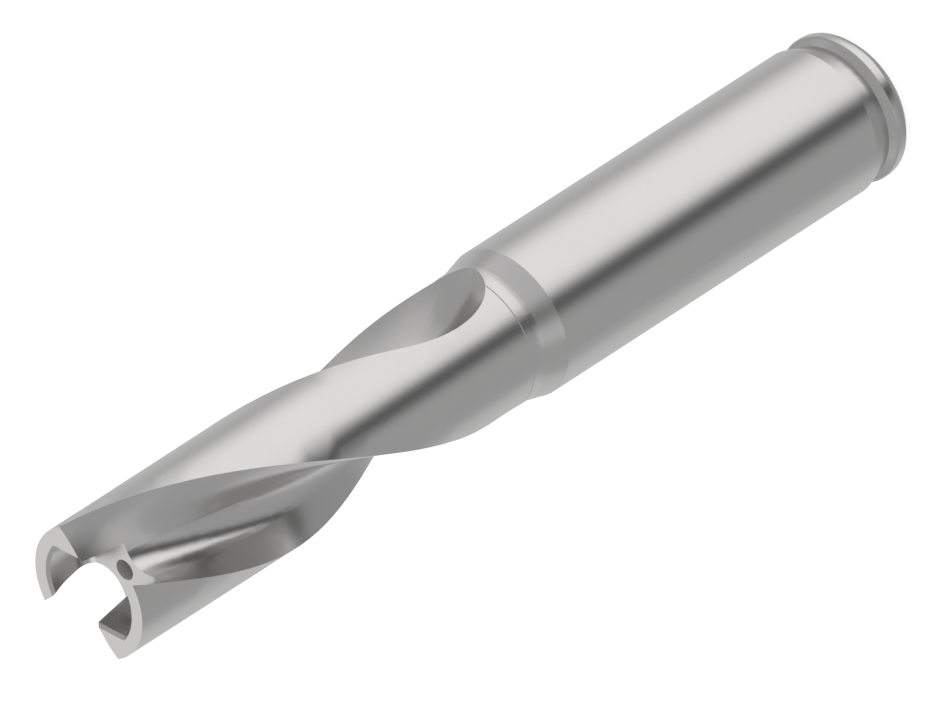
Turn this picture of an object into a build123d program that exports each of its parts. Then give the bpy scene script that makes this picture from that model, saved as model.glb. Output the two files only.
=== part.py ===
"""Modular drill body: a plain round shank carrying a fluted body, which ends in a fork
that takes an exchangeable cutting head. One piece of hardened steel, turned, fluted,
milled and drilled.

Millimetres. The body stands on the rear end face of its shank: the origin is the centre of
that face and +Z is the drill axis, pointing to the fork. X runs along the driving walls of
the pocket and Y across them.
"""
import os
from math import acos, cos, radians, sin, tan

from build123d import *

# Lengths along the axis
overall_length = 108.36
shank_length = 49.53
collar_length = 2.83
neck_length = 1.24

# Diameters: the fluted body tapers slightly towards the fork
shank_diameter = 16.0
body_rear_diameter = 14.6
body_front_diameter = 14.3

# Groove that parts the ground body from the neck, and the blend of the neck into the collar
neck_groove_width = 0.12
neck_groove_depth = 0.06
neck_blend_radius = 4.0

# Rear end of the shank: a lead-in taper, then a rounded bead that ends it
bead_diameter = 15.98
bead_length = 2.29
bead_rear_chamfer = 1.17
bead_rear_rounding = 1.25
bead_front_rounding = 0.4
bead_front_chamfer = 0.59
rear_edge_rounding = 0.41
rear_taper_diameter = 14.48
rear_taper_length = 2.43

# Flutes: right-hand helical channels, ground by a wheel that lifts out at the rear. The
# trailing wall stands square to the fork's end at the mouth and settles to its slope
flute_count = 2
flute_lead = 110.0
flute_length = 41.75
flute_bearing = 45.0
flute_mouth_length = 6.0
wheel_radius = 17.75
gullet_radius = 2.9
trailing_wall_offset = 1.72
trailing_wall_slope = 13.0
leading_wall_offset = 1.55
leading_wall_bulge = 0.39
leading_wall_bulge_height = 5.7
flute_station_spacing = 2.2

# Fork: a round pocket cut flat by two driving walls, and open at the flutes
pocket_depth = 5.0
pocket_bore_diameter = 10.84
driving_width = 6.46
pocket_corner_radius = 1.5
pocket_chamfer = 0.32

# Coolant passage: a wide inlet in the shank, then a narrow hole through the web
coolant_hole_diameter = 2.2
coolant_inlet_diameter = 5.0
coolant_inlet_depth = 40.0
coolant_inlet_chamfer = 0.5
drill_point_angle = 118.0

# Worked out from the sizes above
shank_radius = shank_diameter / 2
body_rear_radius = body_rear_diameter / 2
body_front_radius = body_front_diameter / 2
bead_outer_radius = bead_diameter / 2
taper_start_z = bead_length + bead_front_chamfer
taper_end_z = taper_start_z + rear_taper_length
collar_front_z = shank_length + collar_length
body_rear_z = collar_front_z + neck_length
pocket_floor_z = overall_length - pocket_depth
clear = 1.0
reach = shank_radius + clear


def flute_plane(depth, lift):
    """Cross-section plane of a flute at a depth below the fork's front face. It turns with
    the helix, and the wheel's lift carries it out along the flute's leading wall."""
    turn = radians(flute_bearing - 360 * depth / flute_lead)
    centre = (-lift * sin(turn), lift * cos(turn), overall_length - depth)
    return Plane(origin=centre, x_dir=(cos(turn), sin(turn), 0), z_dir=(0, 0, 1))


def flute_stations():
    """Depth and lift of each flute section: even steps down the body, then along the arc of
    the wheel until its profile has left the shank's diameter."""
    cut_length = flute_length + clear
    count = round(cut_length / flute_station_spacing)
    stations = [(cut_length * i / count - clear, 0.0) for i in range(count + 1)]
    last_angle = acos(1 - (shank_radius + clear) / wheel_radius)
    count = round(wheel_radius * last_angle / flute_station_spacing)
    for i in range(1, count + 1):
        angle = last_angle * i / count
        stations.append((flute_length + wheel_radius * sin(angle), wheel_radius * (1 - cos(angle))))
    return stations


def trailing_wall_angle(depth):
    """Slope of the trailing wall in the section, eased in over the mouth of the flute."""
    part_way = min(max(depth / flute_mouth_length, 0), 1)
    return radians(trailing_wall_slope) * part_way**2 * (3 - 2 * part_way)


# Flute: the space that one flute takes, lofted through its turning sections
with BuildPart() as flute:
    for depth, lift in flute_stations():
        slope = trailing_wall_angle(depth)
        foot_x = leading_wall_offset + gullet_radius * (1 - sin(slope))
        foot_y = -trailing_wall_offset + tan(slope) * (body_front_radius - foot_x)
        outer_y = -trailing_wall_offset - tan(slope) * (reach - body_front_radius)
        with BuildSketch(flute_plane(depth, lift)):
            with BuildLine():
                trailing = Line((reach, outer_y), (foot_x, foot_y))
                gullet = RadiusArc(
                    trailing @ 1,
                    (leading_wall_offset, foot_y + gullet_radius * cos(slope)),
                    gullet_radius,
                )
                leading = Spline(
                    gullet @ 1,
                    (leading_wall_offset + leading_wall_bulge, leading_wall_bulge_height),
                    (leading_wall_offset - leading_wall_bulge / 2, reach),
                    tangents=[(0, 1), (-leading_wall_bulge, 1)],
                )
                Polyline(leading @ 1, (reach, reach), trailing @ 0)
            make_face()
    loft()

# Drill body: turned blank, then the pocket, the coolant passage and the flutes
with BuildPart() as drill_body:
    with BuildSketch(Plane.XZ) as profile:
        with BuildLine():
            Polyline(
                (0, 0),
                (bead_outer_radius - bead_rear_chamfer, 0),
                (bead_outer_radius, bead_rear_chamfer),
                (bead_outer_radius, bead_length),
                (rear_taper_diameter / 2, taper_start_z),
                (shank_radius, taper_end_z),
                (shank_radius, shank_length),
                (body_rear_radius, collar_front_z),
                (body_rear_radius, body_rear_z),
                (body_rear_radius - neck_groove_depth, body_rear_z + neck_groove_width / 2),
                (body_rear_radius, body_rear_z + neck_groove_width),
                (body_front_radius, overall_length),
                (0, overall_length),
                (0, 0),
            )
        make_face()
        for corner, radius in (
            ((bead_outer_radius - bead_rear_chamfer, 0), rear_edge_rounding),
            ((bead_outer_radius, bead_rear_chamfer), bead_rear_rounding),
            ((bead_outer_radius, bead_length), bead_front_rounding),
            ((body_rear_radius, collar_front_z), neck_blend_radius),
        ):
            fillet(profile.vertices().sort_by_distance(corner)[0], radius=radius)
    revolve(axis=Axis.Z)

    with BuildSketch(Plane.XY.offset(pocket_floor_z)):
        Circle(pocket_bore_diameter / 2)
        Rectangle(pocket_bore_diameter, driving_width, mode=Mode.INTERSECT)
    extrude(amount=pocket_depth, mode=Mode.SUBTRACT)
    flats = drill_body.faces().filter_by(Plane.XY)
    floor = flats.sort_by(lambda face: abs(face.center().Z - pocket_floor_z))[0]
    fillet(floor.edges().filter_by(GeomType.CIRCLE), radius=pocket_corner_radius)
    mouth = drill_body.faces().sort_by(Axis.Z)[-1].inner_wires()[0]
    chamfer(mouth.edges(), length=pocket_chamfer)

    inlet_radius = coolant_inlet_diameter / 2
    point_length = inlet_radius / tan(radians(drill_point_angle / 2))
    with BuildSketch(Plane.XZ):
        with BuildLine():
            Polyline(
                (0, 0),
                (inlet_radius + coolant_inlet_chamfer, 0),
                (inlet_radius, coolant_inlet_chamfer),
                (inlet_radius, coolant_inlet_depth),
                (0, coolant_inlet_depth + point_length),
                (0, 0),
            )
        make_face()
    revolve(axis=Axis.Z, mode=Mode.SUBTRACT)
    with Locations((0, 0, pocket_floor_z)):
        Hole(coolant_hole_diameter / 2, depth=pocket_floor_z - coolant_inlet_depth)

    with PolarLocations(0, flute_count):
        add(flute.part, mode=Mode.SUBTRACT)

drill_body.part.label = "drill_body"
os.makedirs("parts", exist_ok=True)
export_step(drill_body.part, "parts/drill_body.step")
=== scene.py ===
"""Looks of a modular drill body: satin ground steel in the light of a small metal studio.

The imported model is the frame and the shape. This script gives it its steel, with the marks
of each grinding pass, and sets up the floor, the studio light and the camera.
"""
from math import pi, radians, sqrt

import bpy
from mathutils import Matrix, Vector


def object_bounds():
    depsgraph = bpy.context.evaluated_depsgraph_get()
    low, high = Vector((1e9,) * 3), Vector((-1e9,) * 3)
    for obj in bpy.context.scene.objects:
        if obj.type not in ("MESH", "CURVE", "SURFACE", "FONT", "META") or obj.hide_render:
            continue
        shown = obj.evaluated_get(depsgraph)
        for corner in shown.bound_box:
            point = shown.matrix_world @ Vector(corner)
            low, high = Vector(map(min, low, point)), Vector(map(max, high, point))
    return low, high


MM = 0.001

# The tool, in metres, as its frame gives it
FLUTE_LEAD = 110.0 * MM
TURNED_RADIUS = 7.1 * MM
PASSAGE_RADIUS = 1.12 * MM
INLET_RADIUS = 2.52 * MM
INLET_END = 45.0 * MM

# Camera: parallel-looking, above the fork, with the tool's axis tilted in the picture
VIEW_AZIMUTH = 135.0
VIEW_ELEVATION = 35.264
TOOL_TILT = 32.79
PICTURE_WIDTH = 92.22 * MM
LENS = 1200.0
SENSOR = 36.0
AIM_BELOW_TIP = 54.1 * MM
AIM_LEFT = 0.014 * MM
AIM_DOWN = 0.948 * MM

# Steel
STEEL_COLOR = (0.60, 0.592, 0.588)
STEEL_SHADE = (0.575, 0.568, 0.565)
STEEL_ROUGHNESS = 0.24
DRILLED_ROUGHNESS = 0.5
DRILLED_METAL = 0.2
MARKS_PER_METRE = 4500.0
MARK_STRETCH = 0.03
MARK_DEPTH = 0.01 * MM

# Studio: light levels on the steel, and the panels' places in degrees round the camera
GREY_WALL = 0.50
KEY_PANEL = 1.26
PALE_LEDGE = 0.72
DARK_FLAG = 0.10
FILL_PANEL = 0.72
REAR_WALL = 0.68
LOWER_WALL = 0.42
CEILING = 1.17


class Link:
    """One output of a shader node. Arithmetic on links adds the Math nodes that it needs."""

    def __init__(self, tree, socket):
        self.tree = tree
        self.socket = socket

    @classmethod
    def node(cls, tree, kind, settings=None, inputs=None, output=0):
        """Adds a node of a type, applies its settings, then fills its sockets."""
        made = tree.nodes.new(kind)
        for name, value in (settings or {}).items():
            setattr(made, name, value)
        for name, value in (inputs or {}).items():
            if isinstance(value, Link):
                tree.links.new(value.socket, made.inputs[name])
            else:
                made.inputs[name].default_value = value
        return cls(tree, made.outputs[output]) if made.outputs else None

    def new(self, kind, settings=None, inputs=None, output=0):
        return Link.node(self.tree, kind, settings, inputs, output)

    def math(self, operation, *others):
        inputs = dict(enumerate((self, *others)))
        return self.new("ShaderNodeMath", {"operation": operation}, inputs)

    def __add__(self, other):
        return self.math("ADD", other)

    def __sub__(self, other):
        return self.math("SUBTRACT", other)

    def __mul__(self, other):
        return self.math("MULTIPLY", other)

    def __truediv__(self, other):
        return self.math("DIVIDE", other)

    def __rsub__(self, other):
        return self * -1.0 + other

    __radd__ = __add__
    __rmul__ = __mul__

    def above(self, edge, softness):
        """0 below the edge and 1 above it, with a smooth step of the given width."""
        return self.new(
            "ShaderNodeMapRange",
            {"interpolation_type": "SMOOTHSTEP"},
            {0: self, 1: edge - softness / 2, 2: edge + softness / 2},
        )

    def toward(self, level, share):
        """This value where share is 0, and level where it is 1."""
        return self + share * (level - self)


def new_tree(owner):
    owner.use_nodes = True
    owner.node_tree.nodes.clear()
    return owner.node_tree


def close_tree(tree, kind, shader):
    Link.node(tree, kind, None, {"Surface": shader})


def grinding_marks(place, stretch):
    """Fine marks that run along the directions in which the stretch is small."""
    drawn_out = place.new("ShaderNodeVectorMath", {"operation": "MULTIPLY"}, {0: place, 1: stretch})
    detail = {"Vector": drawn_out, "Scale": MARKS_PER_METRE, "Detail": 3.0, "Roughness": 0.6}
    return place.new("ShaderNodeTexNoise", None, detail)


def ground_steel(tip):
    """Satin ground steel. Its marks run round the turned surfaces and along the flutes, and
    the drilled passage is dull inside."""
    material = bpy.data.materials.new("ground_steel")
    tree = new_tree(material)
    place = Link.node(tree, "ShaderNodeTexCoord", output="Object")
    x, y, z = (place.new("ShaderNodeSeparateXYZ", None, {0: place}, axis) for axis in range(3))
    radius = (x * x + y * y).math("SQRT")

    untwist = {"Vector": place, "Axis": (0.0, 0.0, 1.0), "Angle": (tip - z) * (2 * pi / FLUTE_LEAD)}
    along_flute = place.new("ShaderNodeVectorRotate", {"rotation_type": "AXIS_ANGLE"}, untwist)
    flute_marks = grinding_marks(along_flute, (1.0, 1.0, MARK_STRETCH))
    turning_marks = grinding_marks(place, (MARK_STRETCH, MARK_STRETCH, 1.0))
    marks = flute_marks.toward(turning_marks, radius.above(TURNED_RADIUS, 0.05 * MM))

    passage = 1.0 - radius.above(PASSAGE_RADIUS, 0.01 * MM)
    inlet = (1.0 - radius.above(INLET_RADIUS, 0.01 * MM)) * (1.0 - z.above(INLET_END, 1.0 * MM))
    drilled = passage.math("MAXIMUM", inlet)

    cloud = place.new("ShaderNodeTexNoise", None, {"Vector": place, "Scale": 90.0, "Detail": 2.0})
    tint = place.new(
        "ShaderNodeMix",
        {"data_type": "RGBA"},
        {"Factor": cloud, "A": (*STEEL_COLOR, 1.0), "B": (*STEEL_SHADE, 1.0)},
        "Result",
    )
    relief = {"Strength": 0.1, "Distance": MARK_DEPTH, "Height": marks}
    shader = place.new(
        "ShaderNodeBsdfPrincipled",
        None,
        {
            "Base Color": tint,
            "Metallic": 1.0 - drilled * (1.0 - DRILLED_METAL),
            "Roughness": (STEEL_ROUGHNESS - 0.02 + marks * 0.04).toward(DRILLED_ROUGHNESS, drilled),
            "Normal": place.new("ShaderNodeBump", None, relief),
        },
    )
    close_tree(tree, "ShaderNodeOutputMaterial", shader)
    return material


def panel(azimuth, elevation, centre, half_width, low, high, side_softness, end_softness):
    """Share of a studio panel in a direction: 1 on the panel, fading out at its edges."""
    off_centre = (azimuth - centre).math("WRAP", 180.0, -180.0).math("ABSOLUTE")
    inside = 1.0 - off_centre.above(half_width, side_softness)
    return inside * elevation.above(low, end_softness) * (1.0 - elevation.above(high, end_softness))


def studio_world():
    """White for the camera. What the steel mirrors is a grey room with a broad bright panel,
    a narrow dark flag beside it and a paler panel across from it."""
    world = bpy.data.worlds.new("studio")
    bpy.context.scene.world = world
    tree = new_tree(world)
    direction = Link.node(tree, "ShaderNodeTexCoord")
    x, y, z = (
        direction.new("ShaderNodeSeparateXYZ", None, {0: direction}, axis) for axis in range(3)
    )
    to_camera = (x + y) * sqrt(0.5)
    across = (x - y) * sqrt(0.5)
    azimuth = across.math("ARCTAN2", to_camera).math("DEGREES")
    elevation = z.math("ARCSINE").math("DEGREES")

    light = z * 0.0 + GREY_WALL
    for level, *place in (
        (REAR_WALL, 180.0, 62.0, -46.0, -8.0, 24.0, 10.0),
        (CEILING, 180.0, 60.0, 32.0, 120.0, 40.0, 12.0),
        (FILL_PANEL, 125.0, 18.0, -46.0, -10.0, 26.0, 12.0),
        (LOWER_WALL, 0.0, 200.0, -120.0, -53.0, 10.0, 6.0),
        (PALE_LEDGE, -20.0, 75.0, -24.0, -4.0, 14.0, 10.0),
        (KEY_PANEL, -46.0, 49.0, -75.0, -20.0, 60.0, 8.0),
        (DARK_FLAG, 14.5, 13.5, -78.0, -5.0, 22.0, 14.0),
    ):
        light = light.toward(level, panel(azimuth, elevation, *place))

    rays = Link.node(tree, "ShaderNodeLightPath")
    mirrored = Link(tree, rays.socket.node.outputs["Is Glossy Ray"])
    strength = 1.0 + mirrored * (light - 1.0)
    background = strength.new(
        "ShaderNodeBackground", None, {"Color": (1.0, 1.0, 1.0, 1.0), "Strength": strength}
    )
    close_tree(tree, "ShaderNodeOutputWorld", background)


def pale_floor():
    """Plain floor under the shank. It is white to the camera, and keeps a faint shadow."""
    size = 4.0
    mesh = bpy.data.meshes.new("floor")
    corners = [(-size, -size, 0), (size, -size, 0), (size, size, 0), (-size, size, 0)]
    mesh.from_pydata(corners, [], [(0, 1, 2, 3)])
    floor = bpy.data.objects.new("floor", mesh)
    bpy.context.scene.collection.objects.link(floor)
    material = bpy.data.materials.new("floor")
    tree = new_tree(material)
    rays = Link.node(tree, "ShaderNodeLightPath")
    diffuse = Link.node(tree, "ShaderNodeBsdfDiffuse", None, {"Color": (0.25, 0.25, 0.25, 1.0)})
    glow = Link.node(tree, "ShaderNodeEmission", None, {"Strength": rays * 0.86})
    both = Link.node(tree, "ShaderNodeAddShader", None, {0: diffuse, 1: glow})
    close_tree(tree, "ShaderNodeOutputMaterial", both)
    mesh.materials.append(material)
    floor.visible_glossy = False


def camera(tip):
    """Looks along the photograph's view, with the tool's axis tilted in the picture."""
    azimuth, elevation = radians(VIEW_AZIMUTH), radians(VIEW_ELEVATION)
    facing = Matrix.Rotation(azimuth, 3, "Z") @ Matrix.Rotation(-elevation, 3, "X")
    back = facing @ Vector((0.0, -1.0, 0.0))
    right = facing @ Vector((1.0, 0.0, 0.0))
    up = back.cross(right)
    turn = Matrix.Rotation(-radians(90.0 + TOOL_TILT), 3, back)
    right, up = turn @ right, turn @ up
    aim = Vector((0.0, 0.0, tip - AIM_BELOW_TIP)) - right * AIM_LEFT - up * AIM_DOWN
    distance = PICTURE_WIDTH * LENS / SENSOR
    data = bpy.data.cameras.new("camera")
    data.lens, data.sensor_width = LENS, SENSOR
    data.clip_start, data.clip_end = 0.1, 20.0
    seen_from = bpy.data.objects.new("camera", data)
    pose = Matrix((right, up, back)).transposed().to_4x4()
    pose.translation = aim + back * distance
    seen_from.matrix_world = pose
    bpy.context.scene.collection.objects.link(seen_from)
    bpy.context.scene.camera = seen_from


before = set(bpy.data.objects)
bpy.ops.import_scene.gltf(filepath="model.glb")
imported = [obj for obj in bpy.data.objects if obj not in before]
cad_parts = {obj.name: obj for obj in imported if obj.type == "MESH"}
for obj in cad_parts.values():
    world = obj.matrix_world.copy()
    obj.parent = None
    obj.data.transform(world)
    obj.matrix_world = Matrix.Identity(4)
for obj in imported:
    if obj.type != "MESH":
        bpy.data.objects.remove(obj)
cad_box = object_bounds()

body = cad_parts["drill_body"]
body.data.materials[0] = ground_steel(cad_box[1].z)

studio_world()
pale_floor()
camera(cad_box[1].z)
bpy.context.scene.view_settings.view_transform = "Standard"
